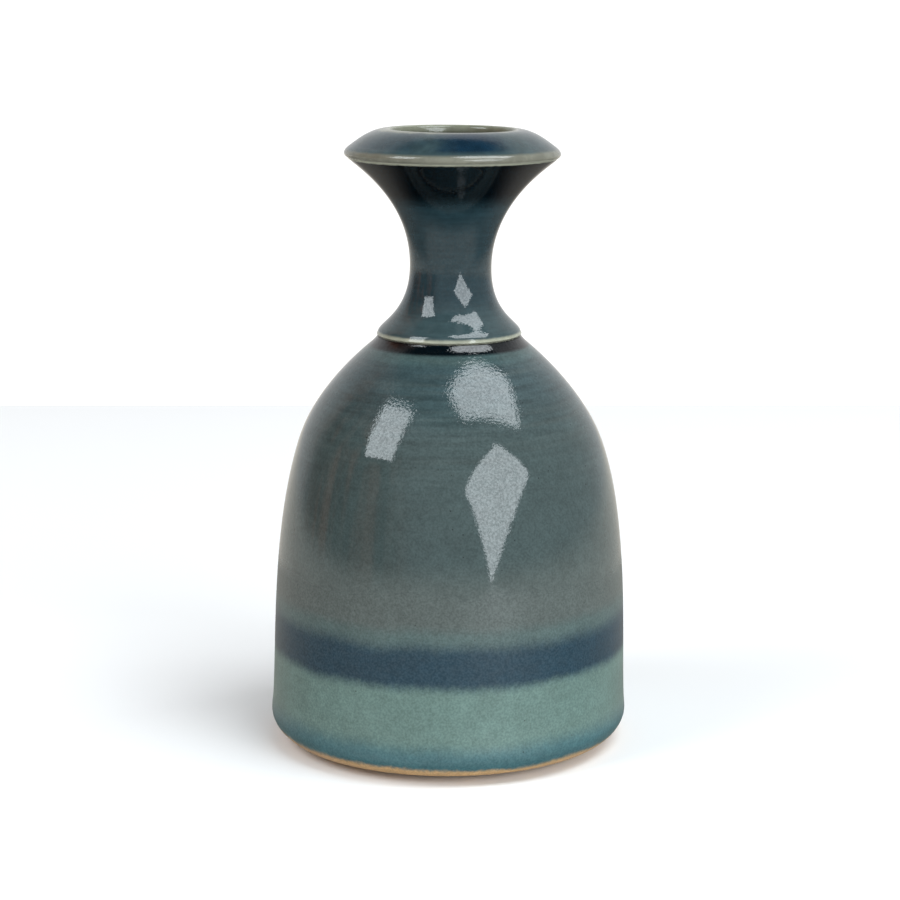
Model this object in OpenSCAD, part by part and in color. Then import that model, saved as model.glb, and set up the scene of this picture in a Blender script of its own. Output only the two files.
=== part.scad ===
// Wheel-thrown stoneware bud vase with an hourglass neck and dipped glaze bands.
//
// The vase is two thrown pieces, a bell-shaped body and a flared neck, luted
// together with slip under a sharp ridge, and then coated with glazes that meet
// each other edge to edge. +Z is up, the foot stands on z = 0, and the throwing
// axis is the Z axis. All sizes are millimetres.

/* [Foot] */
// Diameter of the flat foot
foot_d = 72; // [68:1:76]
// Width of the foot ring that touches the table
foot_ring_w = 6; // [4:0.5:8]
// Depth of the recess turned under the floor
foot_recess = 2; // [1:0.5:3]
// Height where bare clay ends and glaze begins
glaze_line_z = 3.2; // [2:0.1:4.5]

/* [Body] */
// Clay diameter at the top of the rounded foot corner
wall_d = 104.6; // [102:0.2:107]
// Height of the rounded foot corner
corner_h = 9.5; // [8:0.5:12]
// Clay diameter where the wall turns into the shoulder
shoulder_d = 87.6; // [84:0.2:92]
// Height where the wall turns into the shoulder
shoulder_z = 90; // [86:1:94]
// Inward lean of the surface at that height, in degrees from upright
shoulder_lean = 19.5; // [16:0.5:24]
// Clay thickness of the thrown wall
body_wall = 4.4; // [3.6:0.2:5]
// Height of the inside floor above the table
floor_z = 7; // [6:0.5:9]

/* [Joint] */
// Diameter of the body's flat top, where the neck is luted on
joint_d = 41.4; // [41:0.2:42]
// Height of the body's flat top
joint_z = 119.8; // [119.4:0.1:120]
// Width of the ledge that the neck leaves bare around its root
ledge_w = 0.8; // [0.7:0.1:1]
// Diameter of the opening through the joint
joint_bore_d = 29; // [26:0.5:30]
// Thickness of the luting slip
slip_t = 0.3; // [0.2:0.1:0.4]

/* [Neck] */
// Diameter of the sharp ridge at the neck's root
ridge_d = 41; // [40.8:0.2:42]
// Height of the ridge
ridge_z = 121.2; // [121:0.1:121.6]
// Clay diameter at the waist
waist_d = 22.7; // [21:0.2:25]
// Height of the waist
waist_z = 140.5; // [138:0.5:143]
// Clay thickness at the waist
neck_wall = 3.75; // [3.25:0.25:4]

/* [Rim] */
// Clay diameter of the rim's lower edge
rim_d = 59.6; // [58:0.2:61]
// Height of the rim's lower edge
rim_z = 172.3; // [171.5:0.1:173]
// Height of the rounded rim edge
rim_edge_h = 1.9; // [1.6:0.1:2.2]
// Diameter of the mouth
mouth_d = 37.8; // [36:0.2:40]
// Total height of the vase
height = 180; // [179:0.5:182]
// Depth of the lip on the inside of the mouth
lip_h = 3.4; // [3:0.2:4]

/* [Glaze] */
// Thickness of every glaze coat
glaze_t = 0.5; // [0.3:0.1:0.6]
// Height where the cobalt band begins
band_bottom_z = 29.2; // [24:0.2:34]
// Height where the cobalt band ends
band_top_z = 41.2; // [36:0.2:50]

/* [Hidden] */
$fn = 96;

clay_top_z = height - glaze_t;
neck_base_z = joint_z + slip_t;
throat_r = waist_d / 2 - neck_wall;
bore_r = joint_bore_d / 2;
mouth_r = mouth_d / 2;

// ---- Curves -----------------------------------------------------------

// Point at t on the cubic curve whose four control points are c.
function curve_at(c, t) =
    let (s = 1 - t)
    s * s * s * c[0] + 3 * s * s * t * c[1] + 3 * s * t * t * c[2] + t * t * t * c[3];

// Where a rising curve passes height z, by halving the interval.
function t_at_z(c, z, low = 0, high = 1, halvings = 24) =
    let (mid = (low + high) / 2)
    halvings == 0 ? mid
    : curve_at(c, mid).y < z ? t_at_z(c, z, mid, high, halvings - 1)
    : t_at_z(c, z, low, mid, halvings - 1);

// n points along c from t0 towards t1. The last one is left to the next run.
function run(c, n, t0 = 0, t1 = 1) =
    [for (i = [0 : n - 1]) curve_at(c, t0 + (t1 - t0) * i / n)];

// n points of a circular arc, turning from angle a0 towards a1.
function arc(centre, r, a0, a1, n) =
    [for (i = [0 : n - 1]) let (a = a0 + (a1 - a0) * i / n) centre + r * [cos(a), sin(a)]];

function unit(v) = v / norm(v);

// Unit vector to the right of the way from a to b.
function right_of(a, b) = let (d = unit(b - a)) [d.y, -d.x];

// The path moved a distance to its right, with its corners mitred.
function beside(path, distance) =
    let (last = len(path) - 1)
    [for (i = [0 : last])
        let (
            before = right_of(path[max(i - 1, 0)], path[max(i, 1)]),
            after = right_of(path[min(i, last - 1)], path[min(i + 1, last)]),
            middle = unit(before + after)
        )
        path[i] + middle * distance / max(middle * before, 0.5)];

function slice(path, first, last) = [for (i = [first : last]) path[i]];

function reversed(path) = [for (i = [len(path) - 1 : -1 : 0]) path[i]];

// ---- Clay outline, up the outside -------------------------------------

lean_dir = [-sin(shoulder_lean), cos(shoulder_lean)];
shoulder_point = [shoulder_d / 2, shoulder_z];
wall_start = [wall_d / 2, corner_h];
wall_dir = unit([-1.6, 14]);

corner_curve = [
    [foot_d / 2, 0],
    [foot_d / 2 + 10.6, 0],
    wall_start - 5.2 * wall_dir,
    wall_start,
];
wall_curve = [
    wall_start,
    wall_start + 14 * wall_dir,
    shoulder_point - 27.9 * lean_dir,
    shoulder_point,
];
joint_edge = [joint_d / 2, joint_z];
root_r = joint_d / 2 - ledge_w;
// The shoulder rounds over, then dips into a shallow groove below the joint.
groove_edge = joint_edge + [1.9, -2];
shoulder_curve = [
    shoulder_point,
    shoulder_point + 15.8 * lean_dir,
    groove_edge + [1.2, -1],
    groove_edge,
];
groove_curve = [
    groove_edge,
    groove_edge + [-0.6, 0.5],
    joint_edge + [0.5, -0.7],
    joint_edge,
];
ridge_top = [ridge_d / 2 - 0.1, ridge_z + 0.2];
waist = [waist_d / 2, waist_z];
lower_neck_curve = [
    ridge_top,
    ridge_top + [-0.6, 2.6],
    waist - [0, 13.6],
    waist,
];
rim_low = [rim_d / 2, rim_z];
upper_neck_curve = [
    waist,
    waist + [0, 21.1],
    rim_low + [0.7, -0.9],
    rim_low,
];
rim_high = [rim_d / 2 + 0.1, rim_z + rim_edge_h];
rim_edge_curve = [
    rim_low,
    rim_low + [1, 0.3],
    rim_high + [1, -0.9],
    rim_high,
];
mouth_edge = [mouth_r, clay_top_z];
rim_top_curve = [
    rim_high,
    rim_high + [-3.2, 2.5],
    mouth_edge + [4.2, -0.1],
    mouth_edge,
];

glaze_t0 = t_at_z(corner_curve, glaze_line_z);
band_t0 = t_at_z(wall_curve, band_bottom_z);
band_t1 = t_at_z(wall_curve, band_top_z);

// ---- Clay outline, down the inside ------------------------------------

lip_r = 0.8;
lip_centre = mouth_edge - [0, lip_r];
lip_foot = [mouth_r - lip_r, clay_top_z - lip_h];
gallery = [rim_d / 2 - 4.6, rim_z];
gallery_roof_curve = [
    lip_foot,
    lip_foot + [2.6, -0.2],
    gallery + [0.4, 1.8],
    gallery,
];
throat = [throat_r, waist_z];
gallery_wall_curve = [
    gallery,
    gallery + [-0.6, -1.9],
    throat + [0, 19.5],
    throat,
];
bore_top = [bore_r, neck_base_z];
throat_curve = [
    throat,
    throat - [0, 12.5],
    bore_top + [-2.3, 6],
    bore_top,
];
bore_low = [bore_r, joint_z - 2.6];
inner_shoulder = shoulder_point + body_wall * [-cos(shoulder_lean), -sin(shoulder_lean)];
inner_shoulder_curve = [
    bore_low,
    bore_low + [3.4, -1.4],
    inner_shoulder + 16 * lean_dir,
    inner_shoulder,
];
inner_wall_low = wall_start + [-body_wall - 1, 12];
inner_wall_curve = [
    inner_shoulder,
    inner_shoulder - 24 * lean_dir,
    inner_wall_low + 22 * wall_dir,
    inner_wall_low,
];
floor_edge = [wall_d / 2 - 20, floor_z];
inner_corner_curve = [
    inner_wall_low,
    inner_wall_low - 8 * wall_dir,
    floor_edge + [9, 0],
    floor_edge,
];

// The glazed clay surface, from the glaze line over the rim to the floor's
// centre. Each run ends where the next one begins.
RUNS = [
    concat(
        run(corner_curve, 6, glaze_t0, 1),
        run(wall_curve, 6, 0, band_t0)
    ),
    run(wall_curve, 4, band_t0, band_t1),
    concat(
        run(wall_curve, 12, band_t1, 1),
        run(shoulder_curve, 13),
        run(groove_curve, 4)
    ),
    concat(
        [
            joint_edge,
            [root_r, joint_z],
            [root_r, ridge_z - 0.4],
            [ridge_d / 2, ridge_z],
        ],
        run(lower_neck_curve, 12),
        run(upper_neck_curve, 16)
    ),
    concat(
        run(rim_edge_curve, 6),
        run(rim_top_curve, 8)
    ),
    concat(
        arc(lip_centre, lip_r, 90, 180, 4),
        [lip_centre - [lip_r, 0]],
        run(gallery_roof_curve, 7),
        run(gallery_wall_curve, 14),
        run(throat_curve, 10),
        [bore_top]
    ),
    concat(
        [[bore_r, joint_z]],
        run(inner_shoulder_curve, 12),
        run(inner_wall_curve, 12),
        run(inner_corner_curve, 8),
        [floor_edge, [0, floor_z]]
    ),
];
// Number of each run in RUNS
CELADON = 0;
COBALT = 1;
SLATE = 2;
NECK = 3;
RIM = 4;
NECK_LINER = 5;
BODY_LINER = 6;
END = 7;

clay = [for (r = RUNS) each r];
skin = beside(clay, glaze_t);

// Index in clay where a run starts
function start(k) = k == 0 ? 0 : start(k - 1) + len(RUNS[k - 1]);

last_point = len(clay) - 1;

// ---- Clay -------------------------------------------------------------

// Bell-shaped body with a turned foot, open at the top
module clay_body() {
    ring_r = foot_d / 2 - foot_ring_w;
    underside = [
        [0, foot_recess],
        [ring_r - foot_recess, foot_recess],
        [ring_r, 0],
    ];
    color("tan")
        rotate_extrude()
            polygon(concat(
                underside,
                run(corner_curve, 5, 0, glaze_t0),
                slice(clay, 0, start(NECK) + 1),
                slice(clay, start(BODY_LINER), last_point)
            ));
}

// Hourglass neck with its flared, turned-in rim
module clay_neck() {
    color("burlywood")
        rotate_extrude()
            polygon(concat(
                [[root_r, neck_base_z]],
                slice(clay, start(NECK) + 2, start(BODY_LINER) - 1)
            ));
}

// Ring of slip that joins the neck to the body
module luting_slip() {
    color("peru")
        rotate_extrude()
            polygon([
                [bore_r, joint_z],
                [root_r, joint_z],
                [root_r, neck_base_z],
                [bore_r, neck_base_z],
            ]);
}

// ---- Glaze ------------------------------------------------------------

// The coat of glaze over the clay, from one run's start to another's
module coat(first_run, next_run) {
    first = start(first_run);
    last = min(start(next_run), last_point);
    rotate_extrude()
        polygon(concat(slice(clay, first, last), reversed(slice(skin, first, last))));
}

// Pale green dip above the bare foot
module celadon_glaze() {
    color("#738f87") coat(CELADON, COBALT);
}

// Dark band where the two dips overlap
module cobalt_band() {
    color("#35505e") coat(COBALT, SLATE);
}

// Blue-grey coat on the wall and the shoulder
module slate_glaze() {
    color("#4f6060") coat(SLATE, NECK);
}

// The same coat from the joint up to the rim's lower edge
module neck_glaze() {
    color("#43555b") coat(NECK, RIM);
}

// Rim edge and the cone that slopes in to the mouth
module rim_glaze() {
    color("#5a6b6c") coat(RIM, NECK_LINER);
}

// Poured coat on the whole inside
module liner_glaze() {
    color("#8b8d7d") coat(NECK_LINER, END);
}

clay_body();
clay_neck();
luting_slip();
celadon_glaze();
cobalt_band();
slate_glaze();
neck_glaze();
rim_glaze();
liner_glaze();
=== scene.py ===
"""Bud vase of thrown stoneware: fired clay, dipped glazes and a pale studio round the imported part."""

import math

import bmesh
import bpy
import numpy as np
from bpy.props import FloatProperty, FloatVectorProperty, IntProperty, PointerProperty
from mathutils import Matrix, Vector


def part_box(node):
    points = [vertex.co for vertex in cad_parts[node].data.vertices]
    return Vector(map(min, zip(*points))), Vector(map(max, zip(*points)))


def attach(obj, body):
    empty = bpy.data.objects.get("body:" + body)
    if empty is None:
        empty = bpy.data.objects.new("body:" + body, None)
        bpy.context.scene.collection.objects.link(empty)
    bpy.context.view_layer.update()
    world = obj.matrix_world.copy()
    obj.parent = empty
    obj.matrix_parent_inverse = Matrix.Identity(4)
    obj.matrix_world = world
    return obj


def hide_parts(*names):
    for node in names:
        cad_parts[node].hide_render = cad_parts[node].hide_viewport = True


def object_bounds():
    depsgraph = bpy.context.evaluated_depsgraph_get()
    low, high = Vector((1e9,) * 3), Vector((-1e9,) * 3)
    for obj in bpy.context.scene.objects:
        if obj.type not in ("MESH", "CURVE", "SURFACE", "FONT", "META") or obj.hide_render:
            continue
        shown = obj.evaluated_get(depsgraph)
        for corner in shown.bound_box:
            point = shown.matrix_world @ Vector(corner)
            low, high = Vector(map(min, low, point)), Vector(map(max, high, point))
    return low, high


bl_info = {
    "name": "Bud Vase Finishes",
    "version": (1, 0, 0),
    "blender": (4, 5, 0),
    "location": "3D View > Sidebar > Bud Vase",
    "description": "Fired clay, dipped glazes and a pale studio for a thrown bud vase",
    "category": "Object",
}

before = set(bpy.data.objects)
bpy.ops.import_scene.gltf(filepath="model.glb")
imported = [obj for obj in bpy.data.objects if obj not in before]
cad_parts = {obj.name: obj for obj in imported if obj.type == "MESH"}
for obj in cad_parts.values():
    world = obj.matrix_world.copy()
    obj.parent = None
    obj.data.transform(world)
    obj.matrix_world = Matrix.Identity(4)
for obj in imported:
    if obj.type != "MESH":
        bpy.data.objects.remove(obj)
cad_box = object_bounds()

MM = 0.001
WELD = 2 * MM / 1000  # vertices of a CAD mesh closer than this are one vertex

# Heights in millimetres where one coat gives way to the next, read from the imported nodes
GLAZE_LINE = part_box("celadon_glaze")[0].z / MM
BAND_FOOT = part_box("cobalt_band")[0].z / MM
BAND_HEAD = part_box("slate_glaze")[0].z / MM
NECK_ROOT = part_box("neck_glaze")[0].z / MM
RIM_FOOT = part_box("rim_glaze")[0].z / MM
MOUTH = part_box("liner_glaze")[1].z / MM

# Middle of the navy pool on the rim's slope, in millimetres
NAVY_POOL = (6, -25, 176)

# Heights in millimetres over which the teal pool above the foot gives way to celadon
TEAL_FADE = (8.5, 14.5)

# How far the wheel's axis wanders to the side at each height, and the most it may, in millimetres
CENTRE_DRIFT = [
    (0, -0.65), (26, -0.3), (62, 0.05), (80, 0.15), (110, -0.35), (121, -0.25), (141, 0.2), (172, 0.7),
]
DRIFT_REACH = 1.0
TILT_START = 0.8  # share of the rim's height above which the neck begins to lean with the rim

# Heights in millimetres over which the throwing rings deepen on the shoulder, then fade on the neck
RINGS_DEEPEN = (99, 108)
RINGS_FADE = (118, 122)
RINGS_ON_NECK = 0.4  # their depth on the neck, as a share of the shoulder's
RINGLESS = 5  # distance from the axis, in millimetres, within which rings die out on the inside floor

# An outline's turns in degrees: up to STRAIGHT on a straight stretch, up to CORNER along a curve, and from
# the lower to the upper LIP at a lip that glaze rounds off. No face of a curve turns more than STEP_TURN.
STRAIGHT = 0.05
CORNER = 40
LIP = (68, 88)
STEP_TURN = 8
LIP_STEPS = 6  # points on a rounded lip
LIP_ROOM = 0.45  # share of the stretch beside it that a rounded lip may use up

# Iron grains that bleed dark through the glaze and show brown in the bare clay
IRON_IN_GLAZE = "#141c1c"
IRON_IN_CLAY = "#4a3524"

# Colours of the studio
DAYLIGHT = "#f4fbff"
SHELVES = "#955a34"
MIRRORED_FLOOR = "#fffaf0"
WHITE_BOARD = "#f1f1f1"
PAST_THE_TABLE = (1.2, 1.2, 1.2, 1)  # a little over white, which shows as plain white


def linear(code):
    """Turns an sRGB hex colour into the linear RGBA that the shaders take."""
    parts = [int(code[i:i + 2], 16) / 255 for i in (1, 3, 5)]
    return tuple(c / 12.92 if c <= 0.04045 else ((c + 0.055) / 1.055) ** 2.4 for c in parts) + (1.0,)


def length(name, description, millimetres):
    """A length property, given in millimetres and kept in metres."""
    return FloatProperty(name=name, description=description, default=millimetres * MM, min=0, unit="LENGTH")


def colour(name, description, code):
    """A colour property, given as an sRGB hex value and kept linear."""
    return FloatVectorProperty(
        name=name, description=description, default=linear(code), size=4, subtype="COLOR"
    )


def brightness(name, description, value):
    """The strength of a light."""
    return FloatProperty(name=name, description=description, default=value, min=0)


class VaseForm(bpy.types.PropertyGroup):
    """Sizes of the thrown form that the drawing doesn't give."""

    segments: IntProperty(name="Segments", description="Faces around each piece", default=168, min=32)
    skin_step: length("Skin Step", "Longest face along an outer coat's outline", 0.45)
    hidden_step: length("Hidden Step", "Longest face along an outline that is mostly out of sight", 1.0)
    lip_round: length("Lip Round", "Radius that glaze gives to a sharp lip", 0.25)
    ring_pitch: length("Ring Pitch", "Usual distance between throwing rings", 2.6)
    shoulder_rings: length("Shoulder Rings", "Depth of the rings on the shoulder", 0.012)
    wall_rings: length("Wall Rings", "Depth of the rings everywhere else", 0.0012)
    rim_tilt: FloatProperty(
        name="Rim Tilt",
        description="How far the rim leans to one side",
        default=math.radians(0.5),
        subtype="ANGLE",
    )


class GlazeColours(bpy.types.PropertyGroup):
    """Colours of the fired clay and of each glaze."""

    clay: colour("Bare Clay", "Fired stoneware where no glaze covers it", "#bc976c")
    thin: colour("Thin Glaze", "Celadon so thin that the clay shows through", "#b59369")
    foot_teal: colour("Foot Teal", "Blue-green pool above the foot", "#385b60")
    celadon: colour("Celadon", "Pale green dip", "#566e68")
    cobalt: colour("Cobalt", "Dark blue band where two dips overlap", "#12313f")
    band_edge: colour("Band Edge", "Green-grey fringe above the dark band", "#445655")
    warm_grey: colour("Warm Grey", "Mauve-grey zone of the upper dip", "#48514f")
    slate: colour("Slate", "Blue-grey gloss dip", "#374444")
    shoulder: colour("Shoulder Slate", "The same dip, thicker on the shoulder", "#324245")
    # Painted shade: near black where the ridge shades the groove, over the glaze that pools there, and on the
    # neck in the rim's shade
    pooled_and_shaded: colour("Pooled Slate and Painted Shade", "The same dip, pooled in the groove", "#01070c")
    navy: colour("Navy Pool", "The same dip, pooled on the rim's slope", "#031f31")
    neck: colour("Neck Slate", "The same dip, thickest and bluest on the neck and the rim's slope", "#1f3137")
    broken: colour("Broken Glaze", "Pale edge where glaze runs off a lip", "#8b8d7e")
    bead: colour("Rim Bead", "Olive-grey of the glaze on the rim's edge", "#69695e")
    liner: colour("Liner", "Olive-grey glaze inside the lip", "#6c6e5f")
    # Painted shade: the liner's colour deeper inside the pot, darkened for the shade there
    liner_in_painted_shade: colour("Liner in Painted Shade", "The same glaze where it lies thick inside", "#383a2f")


class StudioSettings(bpy.types.PropertyGroup):
    """The room round the vase and the camera."""

    lens: FloatProperty(name="Lens", description="Focal length", default=92.1, unit="CAMERA")
    distance: length("Distance", "From the vase's axis to the camera", 663.8)
    eye_height: length("Eye Height", "Height of the camera above the floor", 221.8)
    pitch: FloatProperty(
        name="Pitch",
        description="How far the camera looks down",
        default=math.radians(11.55),
        subtype="ANGLE",
    )
    room: brightness("Room Light", "Brightness of the room in front of the vase", 0.55)
    backdrop: brightness("Backdrop Light", "Brightness of the wall behind the vase", 0.78)
    ceiling: brightness("Ceiling", "Brightness of the ceiling, as a share of the room's", 0.08)
    windows: brightness("Window Light", "Brightness of the windows", 7.0)
    table: length("Table", "From the vase's axis to the edge of the table it stands on", 540)
    window_range: length("Window Range", "Distance from the vase to the windows", 2400)


# --- Outlines ---------------------------------------------------------------------------------------------


def seam_of(node):
    """The half outline of a CAD node, read off the seam of its mesh, and whether it closes on itself."""
    mesh = bmesh.new()
    mesh.from_mesh(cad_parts[node].data)
    bmesh.ops.remove_doubles(mesh, verts=mesh.verts, dist=WELD)
    seam = [v for v in mesh.verts if abs(v.co.y) < WELD and v.co.x > -WELD]
    on_seam = set(seam)
    beside = {v: [e.other_vert(v) for e in v.link_edges if e.other_vert(v) in on_seam] for v in seam}
    ends = [v for v in seam if len(beside[v]) == 1]
    path = [ends[0] if ends else seam[0]]
    onward = beside[path[0]]
    while onward:
        path.append(onward[0])
        onward = [v for v in beside[path[-1]] if v not in path]
    points = np.array([(v.co.x, v.co.z) for v in path])
    mesh.free()
    if ends:
        first, last = points[0, 1], points[-1, 1]
        points = np.vstack([(0, first), points, (0, last)])
    area = np.sum(points[:, 0] * np.roll(points[:, 1], -1) - np.roll(points[:, 0], -1) * points[:, 1])
    return (points[::-1] if area > 0 else points), not ends


def turns(points, closed):
    """How many degrees an outline turns at each of its points."""
    into, out = points - np.roll(points, 1, axis=0), np.roll(points, -1, axis=0) - points
    cross = into[:, 0] * out[:, 1] - into[:, 1] * out[:, 0]
    turn = np.degrees(np.abs(np.arctan2(cross, np.sum(into * out, axis=1))))
    if not closed:
        turn[[0, -1]] = 180
    return turn


def round_lips(points, closed, radius):
    """The outline with an arc of the given radius in place of each lip."""
    turn = turns(points, closed)
    rounded = []
    for i, point in enumerate(points):
        if not LIP[0] < turn[i] < LIP[1]:
            rounded.append(point)
            continue
        before, after = points[i - 1], points[(i + 1) % len(points)]
        back, on = before - point, after - point
        room = LIP_ROOM * min(np.hypot(*back), np.hypot(*on))
        reach = min(radius * math.tan(math.radians(turn[i]) / 2), room)
        start, end = point + reach * back / np.hypot(*back), point + reach * on / np.hypot(*on)
        for t in np.linspace(0, 1, LIP_STEPS):
            rounded.append((1 - t) ** 2 * start + 2 * t * (1 - t) * point + t ** 2 * end)
    return np.array(rounded)


def smooth(run, turn, step):
    """A stretch of outline as a smooth curve through its points, with no face longer than step."""
    # Between two points the curve is a Hermite cubic, whose slopes come from the points on either side
    chord = np.hypot(*np.diff(run, axis=0).T)
    along = np.concatenate([[0], np.cumsum(chord)])
    slope = np.gradient(run, along, axis=0, edge_order=min(2, len(run) - 1))
    curve = []
    for i, size in enumerate(chord):
        bend = max(t for t in (turn[i], turn[i + 1], 0) if t < CORNER)
        count = max(math.ceil(size / step), math.ceil(bend / STEP_TURN))
        t = (np.arange(count) / count)[:, None]
        start = (2 * t ** 3 - 3 * t ** 2 + 1) * run[i] + (t ** 3 - 2 * t ** 2 + t) * size * slope[i]
        end = (3 * t ** 2 - 2 * t ** 3) * run[i + 1] + (t ** 3 - t ** 2) * size * slope[i + 1]
        curve.append(start + end)
    return np.vstack(curve)


def outline_of(node, step, lip_round):
    """A CAD node's half outline with its curves drawn smoothly between its corners."""
    points, closed = seam_of(node)
    points = points[turns(points, closed) > STRAIGHT]
    points = round_lips(points, closed, lip_round)
    turn = turns(points, closed)
    corners = np.flatnonzero(turn > CORNER)
    if closed:
        points, turn = np.roll(points, -corners[0], axis=0), np.roll(turn, -corners[0])
        points, turn = np.vstack([points, points[:1]]), np.append(turn, turn[0])
        corners = np.append(corners - corners[0], len(points) - 1)
    runs = [smooth(points[a:b + 1], turn[a:b + 1], step) for a, b in zip(corners, corners[1:])]
    outline = np.vstack(runs if closed else runs + [points[-1:]])
    return np.maximum(outline, (0, cad_box[0].z)), closed


# --- Nodes ------------------------------------------------------------------------------------------------

# Kinds of node and settings that the patterns below use often
MATH = "ShaderNodeMath"
RANGE = "ShaderNodeMapRange"
MIX = "ShaderNodeMix"
NOISE = "ShaderNodeTexNoise"
VECTOR = "ShaderNodeVectorMath"
WHOLE = "FunctionNodeIntegerMath"
PLUS = {"operation": "ADD"}
TIMES = {"operation": "MULTIPLY"}
TIMES_PLUS = {"operation": "MULTIPLY_ADD"}
EASED = {"interpolation_type": "SMOOTHSTEP"}
COLOUR = {"data_type": "RGBA"}
TINT = {"data_type": "RGBA", "blend_type": "MULTIPLY"}


def add(tree, kind, *inputs, out=None, **settings):
    """Adds a node with its settings, fills its inputs in order, and returns its first or named output."""
    node = tree.nodes.new(kind)
    for name, value in settings.items():
        setattr(node, name, value)
    for socket, value in zip([s for s in node.inputs if s.enabled], inputs):
        if isinstance(value, bpy.types.NodeSocket):
            tree.links.new(value, socket)
        elif value is not None:
            socket.default_value = value
    return next((s for s in node.outputs if s.enabled and out in (None, s.name)), None)


FORM_SOCKETS = {
    "Outline": "NodeSocketGeometry",
    "Closed": "NodeSocketBool",
    "Segments": "NodeSocketInt",
    "Ring Pitch": "NodeSocketFloat",
    "Shoulder Rings": "NodeSocketFloat",
    "Wall Rings": "NodeSocketFloat",
    "Rim Tilt": "NodeSocketFloat",
    "Finish": "NodeSocketMaterial",
}


def wheel_tree():
    """Geometry nodes that turn a half outline round the axis, as a potter's wheel does."""
    tree = bpy.data.node_groups.new("Thrown form", "GeometryNodeTree")
    for name, kind in FORM_SOCKETS.items():
        tree.interface.new_socket(name, in_out="INPUT", socket_type=kind)
    tree.interface.new_socket("Form", in_out="OUTPUT", socket_type="NodeSocketGeometry")
    given = tree.nodes.new("NodeGroupInput").outputs

    # A grid with a row for each point of the outline and a column for each face around. The last column, and
    # the last row of a closed outline, lie on the first and are welded to it below.
    points = add(tree, "GeometryNodeAttributeDomainSize", given["Outline"], component="MESH")
    rows = add(tree, WHOLE, points, given["Closed"], **PLUS)
    columns = add(tree, WHOLE, given["Segments"], 1, **PLUS)
    grid = add(tree, "GeometryNodeMeshGrid", 1.0, 1.0, rows, columns)
    index = add(tree, "GeometryNodeInputIndex")
    row = add(tree, WHOLE, index, columns, operation="DIVIDE_FLOOR")
    row = add(tree, WHOLE, row, points, operation="MODULO")
    column = add(tree, WHOLE, index, columns, operation="MODULO")
    column = add(tree, WHOLE, column, given["Segments"], operation="MODULO")
    position = add(tree, "GeometryNodeInputPosition")
    place = add(tree, "GeometryNodeSampleIndex", given["Outline"], position, row, data_type="FLOAT_VECTOR")
    place = add(tree, "ShaderNodeSeparateXYZ", place).node.outputs
    radius = place["X"]
    height = place["Z"]
    turn = add(tree, MATH, 2 * math.pi, given["Segments"], operation="DIVIDE")
    angle = add(tree, MATH, column, turn, **TIMES)
    across = add(tree, MATH, angle, operation="COSINE")
    deep = add(tree, MATH, angle, operation="SINE")

    # Throwing rings: swellings of up to twice the ring depth, in or out, that change little round the pot
    half_across = add(tree, MATH, across, 0.5, **TIMES)
    half_deep = add(tree, MATH, deep, 0.5, **TIMES)
    rings_up = add(tree, MATH, height, given["Ring Pitch"], operation="DIVIDE")
    spot = add(tree, "ShaderNodeCombineXYZ", half_across, half_deep, rings_up)
    ring = add(tree, MATH, add(tree, NOISE, spot, 1.0, 2.0), 4.0, -2.0, **TIMES_PLUS)
    low, high = (z * MM for z in RINGS_DEEPEN)
    depth = add(tree, RANGE, height, low, high, given["Wall Rings"], given["Shoulder Rings"], **EASED)
    low, high = (z * MM for z in RINGS_FADE)
    on_neck = add(tree, RANGE, height, low, high, 1.0, RINGS_ON_NECK, **EASED)
    depth = add(tree, MATH, depth, on_neck, **TIMES)
    off_axis = add(tree, RANGE, radius, 0.0, RINGLESS * MM)
    depth = add(tree, MATH, depth, off_axis, **TIMES)
    thrown = add(tree, MATH, ring, depth, radius, **TIMES_PLUS)

    # The centre wanders to the side, and the rim tilts
    share = add(tree, MATH, height, MOUTH * MM, operation="DIVIDE")
    drift = add(tree, "ShaderNodeFloatCurve", 1.0, share)
    curve = drift.node.mapping.curves[0]
    knots = [(z / MOUTH, 0.5 + x / (2 * DRIFT_REACH)) for z, x in CENTRE_DRIFT]
    curve.points[0].location = knots[0]
    curve.points[1].location = (1.0, knots[-1][1])
    for knot in knots[1:]:
        curve.points.new(*knot)
    drift.node.mapping.update()
    aside = add(tree, MATH, drift, 2 * DRIFT_REACH * MM, -DRIFT_REACH * MM, **TIMES_PLUS)
    tilt = add(tree, MATH, given["Rim Tilt"], operation="TANGENT")
    tilt = add(tree, RANGE, height, TILT_START * RIM_FOOT * MM, RIM_FOOT * MM, 0.0, tilt, **EASED)
    x = add(tree, MATH, thrown, across, **TIMES)
    y = add(tree, MATH, thrown, deep, **TIMES)
    drop = add(tree, MATH, x, tilt, **TIMES)
    z = add(tree, MATH, height, drop, operation="SUBTRACT")
    spun = add(tree, "ShaderNodeCombineXYZ", add(tree, MATH, x, aside, **PLUS), y, z)

    form = add(tree, "GeometryNodeSetPosition", grid, None, spun)
    form = add(tree, "GeometryNodeMergeByDistance", form, None, WELD)
    form = add(tree, "GeometryNodeSetShadeSmooth", form, None, True, domain="FACE")
    edge = add(tree, "GeometryNodeInputMeshEdgeAngle")
    sharp = add(tree, MATH, edge, math.radians(CORNER), operation="GREATER_THAN")
    form = add(tree, "GeometryNodeSetShadeSmooth", form, sharp, False, domain="EDGE")
    form = add(tree, "GeometryNodeRealizeInstances", form)
    form = add(tree, "GeometryNodeSetMaterial", form, None, given["Finish"])
    add(tree, "NodeGroupOutput", form)
    return tree


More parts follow.
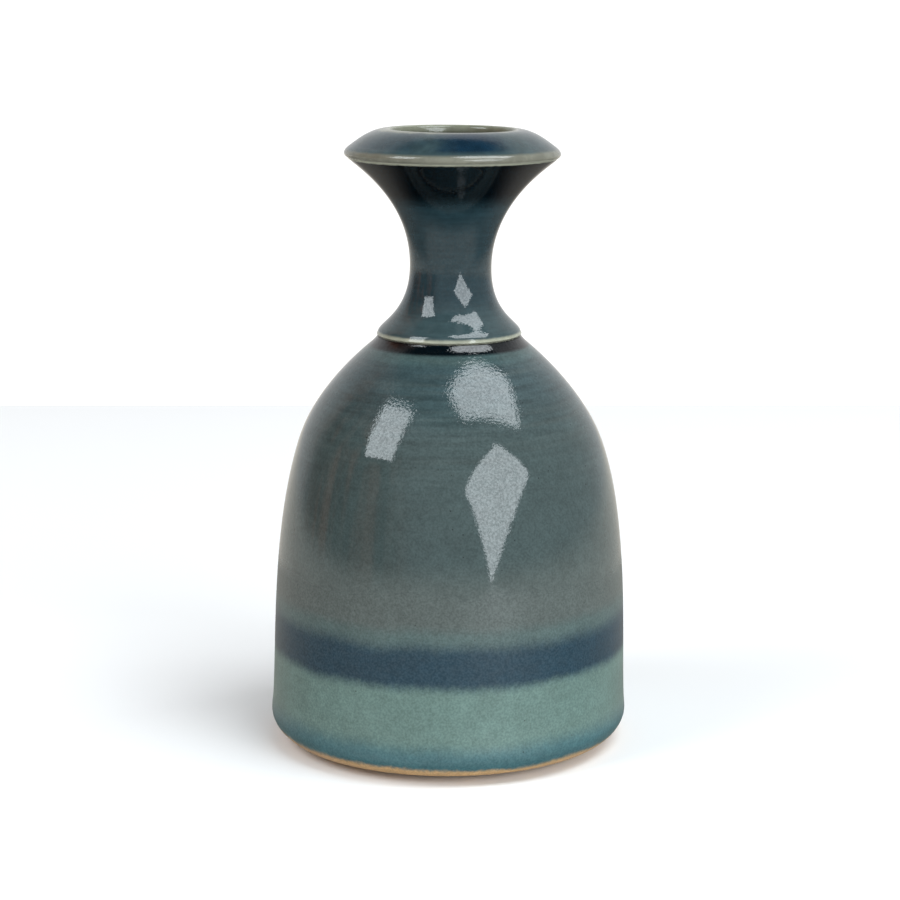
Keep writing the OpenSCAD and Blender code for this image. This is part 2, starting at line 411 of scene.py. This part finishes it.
def throw(context, node, name, finish, step):
    """Turns one CAD node's outline into the finished piece that stands for it."""
    form = context.scene.vase_form
    points, closed = outline_of(node, step, form.lip_round)
    count = len(points)
    outline = bpy.data.meshes.new(name + "_outline")
    outline.from_pydata([(r, 0, z) for r, z in points], [(i, i + 1) for i in range(count - 1)], [])
    piece = bpy.data.objects.new(name, outline)
    context.scene.collection.objects.link(piece)
    wheel = piece.modifiers.new("Wheel", "NODES")
    wheel.node_group = bpy.data.node_groups.get("Thrown form") or wheel_tree()
    sizes = {
        "Closed": closed,
        "Segments": form.segments,
        "Ring Pitch": form.ring_pitch,
        "Shoulder Rings": form.shoulder_rings,
        "Wall Rings": form.wall_rings,
        "Rim Tilt": form.rim_tilt,
        "Finish": finish,
    }
    for socket in wheel.node_group.interface.items_tree:
        if socket.name in sizes:
            wheel[socket.identifier] = sizes[socket.name]
    context.view_layer.update()
    spun = piece.evaluated_get(context.evaluated_depsgraph_get())
    mesh = bpy.data.meshes.new_from_object(spun)
    if not mesh.polygons:
        raise RuntimeError(f"{name}: the wheel made no faces")
    piece.modifiers.clear()
    piece.data = mesh
    mesh.name = name
    bpy.data.meshes.remove(outline)
    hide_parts(node)
    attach(piece, "root")
    return piece


# --- Finishes ---------------------------------------------------------------------------------------------


def in_millimetres(tree):
    """The place on the vase, in millimetres, and its height."""
    place = add(tree, "ShaderNodeTexCoord", out="Object")
    place = add(tree, VECTOR, place, (1 / MM, 1 / MM, 1 / MM), **TIMES)
    return place, add(tree, "ShaderNodeSeparateXYZ", place, out="Z")


def grain(tree, place, size, detail=2.0, stretch=(1, 1, 1), roughness=0.5):
    """Soft noise from 0 to 1 whose patches are size millimetres across, times stretch along each axis."""
    scaled = add(tree, VECTOR, place, tuple(1 / (size * s) for s in stretch), **TIMES)
    return add(tree, NOISE, scaled, 1.0, detail, roughness)


def layered(tree, height, lowest, layers):
    """Colours that follow one another up the wall: each layer fades in between its two heights."""
    shade = lowest
    for low, high, over in layers:
        share = add(tree, RANGE, height, low, high, **EASED)
        shade = add(tree, MIX, share, shade, tuple(over), **COLOUR)
    return shade


def clouded(tree, shade, *clouds):
    """A colour varied by each noise in turn: (noise, darkest, lightest)."""
    for noise, darkest, lightest in clouds:
        level = add(tree, RANGE, noise, 0.3, 0.7, darkest, lightest, **EASED)
        shade = add(tree, MIX, 1.0, shade, level, **TINT)
    return shade


def iron_specks(tree, place, spacing, radius, share):
    """1 inside the few iron grains that bleed through the glaze, 0 elsewhere; sizes in millimetres."""
    scaled = add(tree, VECTOR, place, (1 / spacing,) * 3, **TIMES)
    cells = add(tree, "ShaderNodeTexVoronoi", scaled, 1.0).node.outputs
    lottery = add(tree, "ShaderNodeSeparateColor", cells["Color"])
    chosen = add(tree, MATH, lottery, share, operation="LESS_THAN")
    near = add(tree, RANGE, cells["Distance"], 0.4 * radius / spacing, radius / spacing, 1.0, 0.0, **EASED)
    return add(tree, MATH, chosen, near, **TIMES)


def surface(name, make, **uniform):
    """A material of one Principled surface: make links its patterns, and uniform sets its plain sockets."""
    finish = bpy.data.materials.new(name)
    finish.use_nodes = True
    tree = finish.node_tree
    tree.nodes.clear()
    shader = tree.nodes.new("ShaderNodeBsdfPrincipled")
    for socket, value in uniform.items():
        shader.inputs[socket].default_value = value
    shade, roughness, gloss, relief, depth = make(tree)
    tree.links.new(shade, shader.inputs["Base Color"])
    tree.links.new(roughness, shader.inputs["Roughness"])
    tree.links.new(gloss, shader.inputs["Specular IOR Level"])
    bump = add(tree, "ShaderNodeBump", 1.0, depth * MM, None, relief)
    tree.links.new(bump, shader.inputs["Normal"])
    add(tree, "ShaderNodeOutputMaterial", shader.outputs[0])
    return finish


# Width and depth, in millimetres, of one dimple of the glaze's orange peel. The real ones are nearer 0.4 mm
# wide, too fine to show at this size.
PEEL = 0.8
PEEL_DEPTH = 0.02

# How far a grain of sand stands out of the bare clay, in millimetres
SAND_DEPTH = 0.03


def crystals(tree, place):
    """How strongly the glaze reflects: fine matt crystals dull it in spots."""
    # The real crystals are about 0.1 mm wide, too fine to show, so they're drawn 0.6 mm wide
    return add(tree, RANGE, grain(tree, place, 0.6, 2.0), 0.35, 0.65, 0.36, 0.6)


def dip_group(colours):
    """Node group of the dipped glazes below the neck's root: colour, roughness, gloss and relief."""
    tree = bpy.data.node_groups.new("Dipped glazes", "ShaderNodeTree")
    tree.interface.new_socket("Color", in_out="OUTPUT", socket_type="NodeSocketColor")
    for name in ("Roughness", "Gloss", "Relief"):
        tree.interface.new_socket(name, in_out="OUTPUT", socket_type="NodeSocketFloat")
    place, height = in_millimetres(tree)

    # The edges of a dip wander by about a millimetre and are feathered by fine runs that point down
    sag = add(tree, MATH, grain(tree, place, 18, 1.0), 3.0, -1.5, **TIMES_PLUS)
    runs = add(tree, MATH, grain(tree, place, 1.3, 3.0, (1, 1, 1.8)), 2.0, -1.0, **TIMES_PLUS)
    level = add(tree, MATH, add(tree, MATH, sag, runs, **PLUS), height, **PLUS)
    shade = layered(tree, level, tuple(colours.thin), [
        (GLAZE_LINE + 1.2, GLAZE_LINE + 3.2, colours.foot_teal),
        (*TEAL_FADE, colours.celadon),
        (BAND_FOOT - 2.6, BAND_FOOT + 1.6, colours.cobalt),
        (BAND_HEAD - 3.6, BAND_HEAD + 2.0, colours.band_edge),
        (BAND_HEAD + 1.5, BAND_HEAD + 6, colours.warm_grey),
        (BAND_HEAD + 9, BAND_HEAD + 26, colours.slate),
        (BAND_HEAD + 52, BAND_HEAD + 72, colours.shoulder),
    ])
    foot_level = add(tree, MATH, sag, 0.25, height, **TIMES_PLUS)
    bare = add(tree, RANGE, foot_level, GLAZE_LINE + 0.2, GLAZE_LINE + 2.0, 1.0, 0.0, **EASED)
    shade = add(tree, MIX, bare, shade, tuple(colours.thin), **COLOUR)

    # Level streaks from the wheel, strongest on the shoulder, some of them greener. The glaze thins where
    # the shoulder rounds over, and pools in the groove above, which is also painted near black as the ridge's
    # shade.
    lines = grain(tree, place, 1.2, 3.0, (14, 14, 1))
    upper = add(tree, RANGE, height, BAND_HEAD + 30, BAND_HEAD + 68, 0.12, 1.0, **EASED)
    streak = add(tree, RANGE, lines, 0.3, 0.7, -0.2, 0.2)
    streak = add(tree, MATH, streak, upper, 1.0, **TIMES_PLUS)
    shade = add(tree, MIX, 1.0, shade, streak, **TINT)
    greener = add(tree, RANGE, grain(tree, place, 2.1, 3.0, (16, 16, 1)), 0.5, 0.68, 0.0, 0.3)
    greener = add(tree, MATH, greener, upper, **TIMES)
    shade = add(tree, MIX, greener, shade, tuple(colours.warm_grey), **COLOUR)
    crest = add(tree, RANGE, height, NECK_ROOT - 6.0, NECK_ROOT - 2.8, 0.0, 0.2, **EASED)
    shade = add(tree, MIX, crest, shade, tuple(colours.celadon), **COLOUR)
    # Painted shade: the groove under the ridge turns near black, for pooled glaze and for the ridge's shade
    groove = add(tree, RANGE, height, NECK_ROOT - 2.5, NECK_ROOT - 1.5, **EASED)
    shade = add(tree, MIX, groove, shade, tuple(colours.pooled_and_shaded), **COLOUR)

    # Clouds 9 mm across, mottling 2.2 mm across, and a stipple as wide as the crystals are drawn
    shade = clouded(
        tree,
        shade,
        (grain(tree, place, 9.0, 1.0), 0.95, 1.05),
        (grain(tree, place, 2.2, 3.0), 0.93, 1.07),
        (grain(tree, place, 0.6, 2.0), 0.88, 1.12),
    )
    specks = add(tree, MATH, iron_specks(tree, place, 3.4, 0.32, 0.3), 0.7, **TIMES)
    shade = add(tree, MIX, specks, shade, linear(IRON_IN_GLAZE), **COLOUR)

    # The lower dip is satin and the upper one is gloss, with a coarser peel on the shoulder
    ragged = add(tree, MATH, sag, 2.0, height, **TIMES_PLUS)
    satin = add(tree, RANGE, ragged, BAND_HEAD + 10, BAND_HEAD + 19, 0.34, 0.04, **EASED)
    rough = add(tree, MATH, grain(tree, place, 5.0, 2.0), 0.03, satin, **TIMES_PLUS)
    coarse = add(tree, RANGE, height, BAND_HEAD + 50, BAND_HEAD + 66, 0.6, 2.4, **EASED)
    relief = add(tree, MATH, grain(tree, place, PEEL, 2.0), coarse, **TIMES)
    add(tree, "NodeGroupOutput", shade, rough, crystals(tree, place), relief)
    return tree


def dipped(colours):
    """The patterns of any coat between the foot and the neck's root."""

    def make(tree):
        group = tree.nodes.new("ShaderNodeGroup")
        group.node_tree = bpy.data.node_groups.get("Dipped glazes") or dip_group(colours)
        return *group.outputs, PEEL_DEPTH

    return make


def neck_patterns(colours):
    """The slate coat on the neck: pale where it breaks over the ridge, and painted near black as shade below
    that pale line and under the rim.
    """

    def make(tree):
        place, height = in_millimetres(tree)
        level = add(tree, MATH, grain(tree, place, 1.4, 1.0), 0.3, height, **TIMES_PLUS)
        # Painted shade: near black at the neck's foot below the ridge's pale line, and fading in 15 to 9 mm
        # below the rim up to its pale edge
        shade = layered(tree, level, tuple(colours.pooled_and_shaded), [
            (NECK_ROOT + 0.7, NECK_ROOT + 1.0, colours.broken),
            (NECK_ROOT + 1.8, NECK_ROOT + 2.6, colours.shoulder),
            (NECK_ROOT + 6.0, NECK_ROOT + 14.0, colours.neck),
            (RIM_FOOT - 15, RIM_FOOT - 9, colours.pooled_and_shaded),
            (RIM_FOOT - 0.5, RIM_FOOT, colours.broken),
        ])
        shade = clouded(
            tree,
            shade,
            (grain(tree, place, 2.2, 3.0), 0.93, 1.07),
            (grain(tree, place, 1.0, 2.0, (10, 10, 1)), 0.9, 1.1),
        )
        rough = add(tree, RANGE, grain(tree, place, 5.0, 2.0), 0.3, 0.7, 0.05, 0.08)
        return shade, rough, crystals(tree, place), grain(tree, place, PEEL, 1.0), PEEL_DEPTH

    return make


def rim_patterns(colours):
    """The coat on the rim: olive over the edge, blue-grey with navy pools on the slope, pale at the mouth."""

    def make(tree):
        place, height = in_millimetres(tree)
        level = add(tree, MATH, grain(tree, place, 3.0, 2.0), 0.5, height, **TIMES_PLUS)
        shade = layered(tree, level, tuple(colours.broken), [
            (RIM_FOOT + 0.2, RIM_FOOT + 0.7, colours.bead),
            (RIM_FOOT + 2.2, RIM_FOOT + 3.2, colours.shoulder),
            (MOUTH - 0.1, MOUTH + 0.2, colours.liner),
        ])
        # The glaze pools navy in a long patch on the front of the slope, and faintly elsewhere
        ragged = add(tree, MATH, grain(tree, place, 4.0, 3.0), 8.0, -4.0, **TIMES_PLUS)
        away = add(tree, VECTOR, place, NAVY_POOL, operation="DISTANCE", out="Value")
        away = add(tree, MATH, away, ragged, **PLUS)
        pool = add(tree, RANGE, away, 4.0, 15.0, 0.9, 0.0, **EASED)
        faint = add(tree, RANGE, grain(tree, place, 13.0, 2.0), 0.45, 0.65, 0.0, 0.4, **EASED)
        pool = add(tree, MATH, pool, faint, operation="MAXIMUM")
        on_slope = add(tree, RANGE, height, RIM_FOOT + 2.6, RIM_FOOT + 4.0, **EASED)
        pool = add(tree, MATH, pool, on_slope, **TIMES)
        shade = add(tree, MIX, pool, shade, tuple(colours.navy), **COLOUR)
        shade = clouded(tree, shade, (grain(tree, place, 3.0, 3.0), 0.85, 1.15))
        rough = add(tree, RANGE, grain(tree, place, 5.0, 2.0), 0.3, 0.7, 0.1, 0.16)
        return shade, rough, crystals(tree, place), grain(tree, place, PEEL, 1.0), PEEL_DEPTH

    return make


def liner_patterns(colours):
    """The poured liner: olive-grey with faint level streaks, paler on the lip."""

    def make(tree):
        place, height = in_millimetres(tree)
        # Painted shade: the liner is dark deeper inside the pot and turns olive only near the mouth
        shade = layered(tree, height, tuple(colours.liner_in_painted_shade), [
            (MOUTH - 2.8, MOUTH - 1.0, colours.liner),
            (MOUTH - 0.4, MOUTH - 0.1, colours.broken),
        ])
        shade = clouded(
            tree,
            shade,
            (grain(tree, place, 3.0, 3.0), 0.9, 1.1),
            (grain(tree, place, 1.2, 2.0, (10, 10, 1)), 0.93, 1.07),
        )
        rough = add(tree, RANGE, grain(tree, place, 4.0, 2.0), 0.3, 0.7, 0.1, 0.18)
        return shade, rough, crystals(tree, place), grain(tree, place, PEEL, 1.0), PEEL_DEPTH

    return make


def clay_patterns(colour_of_clay):
    """Unglazed clay: matt, with a sandy grain 0.4 mm across and faint turning lines 0.8 mm apart."""

    def make(tree):
        place, _ = in_millimetres(tree)
        sand = grain(tree, place, 0.4, 3.0, roughness=0.7)
        shade = clouded(
            tree,
            tuple(colour_of_clay),
            (sand, 0.84, 1.1),
            (grain(tree, place, 6.0, 2.0), 0.9, 1.08),
        )
        specks = add(tree, MATH, iron_specks(tree, place, 2.0, 0.25, 0.25), 0.6, **TIMES)
        shade = add(tree, MIX, specks, shade, linear(IRON_IN_CLAY), **COLOUR)
        rough = add(tree, RANGE, sand, 0.3, 0.7, 0.75, 0.9)
        gloss = add(tree, RANGE, sand, 0.3, 0.7, 0.3, 0.5)
        relief = add(tree, MATH, grain(tree, place, 0.8, 1.0, (20, 20, 1)), 0.6, sand, **TIMES_PLUS)
        return shade, rough, gloss, relief, SAND_DEPTH

    return make


def finishes(context):
    """Every material by its slot name, made once."""
    colours = context.scene.vase_colours
    # Stoneware, thrown, turned at the foot and fired bare: nothing glassy covers its grains, so it's matt
    # and sandy. The slip is the same clay thinned with water, a little duller.
    bare = {"IOR": 1.45, "Metallic": 0.0}
    # Glazes, dipped or poured and fired, are glass, with glass's usual index of 1.5. The upper dip ran and
    # healed smooth, so windows show in it as sharp patches; the lower dip is slightly underfired, which
    # leaves it satin. The slate breaks pale over a lip, where it's thin, and pools in a groove, which is also
    # painted almost black there as shade, as is the neck under the rim. Inside the pot the liner is painted
    # dark as shade, and it pales towards the mouth.
    glass = {"IOR": 1.5, "Metallic": 0.0}
    recipes = {
        "bare_stoneware": ("Fired stoneware, turned", clay_patterns(colours.clay), bare),
        "slip": ("Fired joining slip", clay_patterns(colours.thin), bare),
        "celadon": ("Celadon glaze, satin", dipped(colours), glass),
        "cobalt": ("Cobalt overlap, satin", dipped(colours), glass),
        "slate": ("Slate glaze, gloss", dipped(colours), glass),
        "slate_neck": ("Slate glaze on the neck, gloss", neck_patterns(colours), glass),
        "rim": ("Slate glaze breaking on the rim", rim_patterns(colours), glass),
        "liner": ("Liner glaze, poured", liner_patterns(colours), glass),
    }
    for slot, (name, make, uniform) in recipes.items():
        if name not in bpy.data.materials:
            surface(name, make, **uniform)
    return {slot: bpy.data.materials[name] for slot, (name, _, _) in recipes.items()}


# --- Operators --------------------------------------------------------------------------------------------


def throw_pieces(context, pieces, step):
    """Makes each (CAD node, piece name, slot) in turn."""
    materials = finishes(context)
    for node, name, slot in pieces:
        throw(context, node, name, materials[slot], step)
    return {"FINISHED"}


class VASE_OT_fire_clay(bpy.types.Operator):
    """Make the clay body, the clay neck and the slip that joins them"""

    bl_idname = "bud_vase.fire_clay"
    bl_label = "Fire the Clay"

    def execute(self, context):
        return throw_pieces(context, [
            ("clay_body", "fired_body", "bare_stoneware"),
            ("clay_neck", "fired_neck", "bare_stoneware"),
            ("luting_slip", "joining_slip", "slip"),
        ], context.scene.vase_form.hidden_step)


class VASE_OT_dip_foot(bpy.types.Operator):
    """Coat the lower wall: celadon, and the cobalt band where the dips overlap"""

    bl_idname = "bud_vase.dip_foot"
    bl_label = "Dip the Foot"

    def execute(self, context):
        return throw_pieces(context, [
            ("celadon_glaze", "celadon_coat", "celadon"),
            ("cobalt_band", "cobalt_coat", "cobalt"),
        ], context.scene.vase_form.skin_step)


class VASE_OT_dip_shoulder(bpy.types.Operator):
    """Coat the upper wall, the neck and the rim with slate glaze"""

    bl_idname = "bud_vase.dip_shoulder"
    bl_label = "Dip the Shoulder"

    def execute(self, context):
        return throw_pieces(context, [
            ("slate_glaze", "slate_coat", "slate"),
            ("neck_glaze", "neck_coat", "slate_neck"),
            ("rim_glaze", "rim_coat", "rim"),
        ], context.scene.vase_form.skin_step)


class VASE_OT_pour_liner(bpy.types.Operator):
    """Coat the inside with the poured liner"""

    bl_idname = "bud_vase.pour_liner"
    bl_label = "Pour the Liner"

    def execute(self, context):
        return throw_pieces(context, [
            ("liner_glaze", "liner_coat", "liner"),
        ], context.scene.vase_form.hidden_step)


# Corners of each window as directions from the vase: degrees to the right of the camera, degrees up
WINDOWS = {
    "window_left": [(-70, 23), (-46, 26), (-47, 58.5), (-83.5, 51)],
    "window_right": [(60.5, 18.5), (26.5, -5), (10.3, 17.5), (43, 41.5)],
    "skylight": [(72, 42.5), (104, 53.5), (88, 75.5), (-2, 74), (16.5, 59)],
}


def glowing(name, strength, code):
    """A light material of one even colour."""
    light = bpy.data.materials.new(name)
    light.use_nodes = True
    tree = light.node_tree
    tree.nodes.clear()
    add(tree, "ShaderNodeOutputMaterial", add(tree, "ShaderNodeEmission", linear(code), strength))
    return light


def window(context, name, corners, distance, material):
    """A flat glowing pane whose corners lie in the given directions from the middle of the vase."""
    middle = (cad_box[0] + cad_box[1]) / 2
    turned = [(math.radians(a), math.radians(e)) for a, e in corners]
    rays = [Vector((math.sin(a) * math.cos(e), -math.cos(a) * math.cos(e), math.sin(e))) for a, e in turned]
    facing = sum(rays, Vector()).normalized()
    mesh = bpy.data.meshes.new(name)
    mesh.from_pydata([middle + ray * distance / ray.dot(facing) for ray in rays], [], [range(len(rays))])
    pane = bpy.data.objects.new(name, mesh)
    mesh.materials.append(material)
    context.scene.collection.objects.link(pane)
    pane.visible_camera = False


def pale_room(studio):
    """The light from all round: a white wall behind, a dimmer room, a dark ceiling, floor and left corner."""
    world = bpy.data.worlds.new("Pale room")
    world.use_nodes = True
    tree = world.node_tree
    tree.nodes.clear()
    # Sizes and ranges here are in directions of length 1, where 0.1 is about 6 degrees
    way = add(tree, "ShaderNodeTexCoord")
    stripes = grain(tree, way, 0.16, 2.0, (1, 1, 12))
    way = add(tree, "ShaderNodeSeparateXYZ", way).node.outputs
    light = add(tree, RANGE, way["Y"], 0.3, 0.85, studio.room, studio.backdrop, **EASED)

    # Warm upright stripes in the left corner, such as shelves and a door give
    leftward = add(tree, RANGE, way["X"], -0.4, -0.8, **EASED)
    forward = add(tree, RANGE, way["Y"], 0.3, 0.7, 1.0, 0.0, **EASED)
    corner = add(tree, MATH, leftward, forward, **TIMES)
    stripes = add(tree, RANGE, stripes, 0.42, 0.62, 0.35, 1.7, **EASED)
    shelves = add(tree, MIX, 1.0, linear(SHELVES), stripes, **TINT)
    light = add(tree, MIX, corner, light, shelves, **COLOUR)

    ceiling = add(tree, RANGE, way["Z"], 0.76, 0.88, 1.0, studio.ceiling, **EASED)
    light = add(tree, MIX, 1.0, light, ceiling, **TINT)

    # The floor as the glaze mirrors it: pale in front and far away, dim to the sides and behind, and
    # nearly black close to the foot, where the vase shades it
    ahead = add(tree, RANGE, way["Y"], -0.05, -0.5, 0.25, 0.8, **EASED)
    close = add(tree, RANGE, way["Z"], -0.9, -0.6, 0.02, 1.0, **EASED)
    ahead = add(tree, MATH, ahead, close, **TIMES)
    far = add(tree, RANGE, way["Z"], -0.45, -0.1, 0.0, 0.9, **EASED)
    floor = add(tree, MATH, ahead, far, operation="MAXIMUM")
    floor = add(tree, MIX, 1.0, linear(MIRRORED_FLOOR), floor, **TINT)
    below = add(tree, RANGE, way["Z"], -0.02, -0.12, **EASED)
    light = add(tree, MIX, below, light, floor, **COLOUR)

    # The camera itself sees plain white past the table
    seen = add(tree, "ShaderNodeLightPath", out="Is Camera Ray")
    light = add(tree, MIX, seen, light, PAST_THE_TABLE, **COLOUR)
    add(tree, "ShaderNodeOutputWorld", add(tree, "ShaderNodeBackground", light))
    return world


class VASE_OT_set_studio(bpy.types.Operator):
    """Make the pale floor, the room's light, the windows and the camera"""

    bl_idname = "bud_vase.set_studio"
    bl_label = "Set the Studio"

    def execute(self, context):
        scene = context.scene
        studio = scene.vase_studio
        scene.view_settings.view_transform = "Standard"
        scene.world = pale_room(studio)
        side = studio.table
        square = ((-side, -side), (side, -side), (side, side), (-side, side))
        corners = [(x, y, cad_box[0].z) for x, y in square]
        mesh = bpy.data.meshes.new("floor")
        mesh.from_pydata(corners, [], [(0, 1, 2, 3)])
        floor = bpy.data.objects.new("floor", mesh)
        scene.collection.objects.link(floor)
        # White paint, brushed on a board and dried matt: it shows the shadow and no reflection
        paint = bpy.data.materials.new("White painted board")
        paint.use_nodes = True
        board = paint.node_tree.nodes["Principled BSDF"]
        board.inputs["Base Color"].default_value = linear(WHITE_BOARD)
        board.inputs["Roughness"].default_value = 0.9
        mesh.materials.append(paint)
        # The glaze mirrors the room's own floor instead, which darkens towards the foot
        floor.visible_glossy = False

        daylight = glowing("Window light", studio.windows, DAYLIGHT)
        for name, corners in WINDOWS.items():
            window(context, name, corners, studio.window_range, daylight)

        lens = bpy.data.cameras.new("camera")
        lens.lens = studio.lens
        camera = bpy.data.objects.new("camera", lens)
        camera.location = (0, -studio.distance, studio.eye_height)
        camera.rotation_euler = (math.pi / 2 - studio.pitch, 0, 0)
        scene.collection.objects.link(camera)
        scene.camera = camera
        return {"FINISHED"}


class VASE_PT_panel(bpy.types.Panel):
    """Lists the steps and the sizes and colours they use"""

    bl_label = "Bud Vase"
    bl_idname = "VASE_PT_panel"
    bl_space_type = "VIEW_3D"
    bl_region_type = "UI"
    bl_category = "Bud Vase"

    def draw(self, context):
        for step in STEPS:
            self.layout.operator(step.bl_idname)
        for group in (context.scene.vase_form, context.scene.vase_colours, context.scene.vase_studio):
            box = self.layout.box()
            for name in group.__annotations__:
                box.prop(group, name)


STEPS = (VASE_OT_set_studio, VASE_OT_fire_clay, VASE_OT_dip_foot, VASE_OT_dip_shoulder, VASE_OT_pour_liner)
GROUPS = {"vase_form": VaseForm, "vase_colours": GlazeColours, "vase_studio": StudioSettings}


def register():
    for kind in (*GROUPS.values(), *STEPS, VASE_PT_panel):
        bpy.utils.register_class(kind)
    for name, kind in GROUPS.items():
        setattr(bpy.types.Scene, name, PointerProperty(type=kind))


def unregister():
    for name in GROUPS:
        delattr(bpy.types.Scene, name)
    for kind in (VASE_PT_panel, *reversed(STEPS), *reversed(GROUPS.values())):
        bpy.utils.unregister_class(kind)


def main():
    register()
    bpy.ops.bud_vase.set_studio()
    bpy.ops.bud_vase.fire_clay()
    bpy.ops.bud_vase.dip_foot()
    bpy.ops.bud_vase.dip_shoulder()
    bpy.ops.bud_vase.pour_liner()


if __name__ == "__main__":
    main()
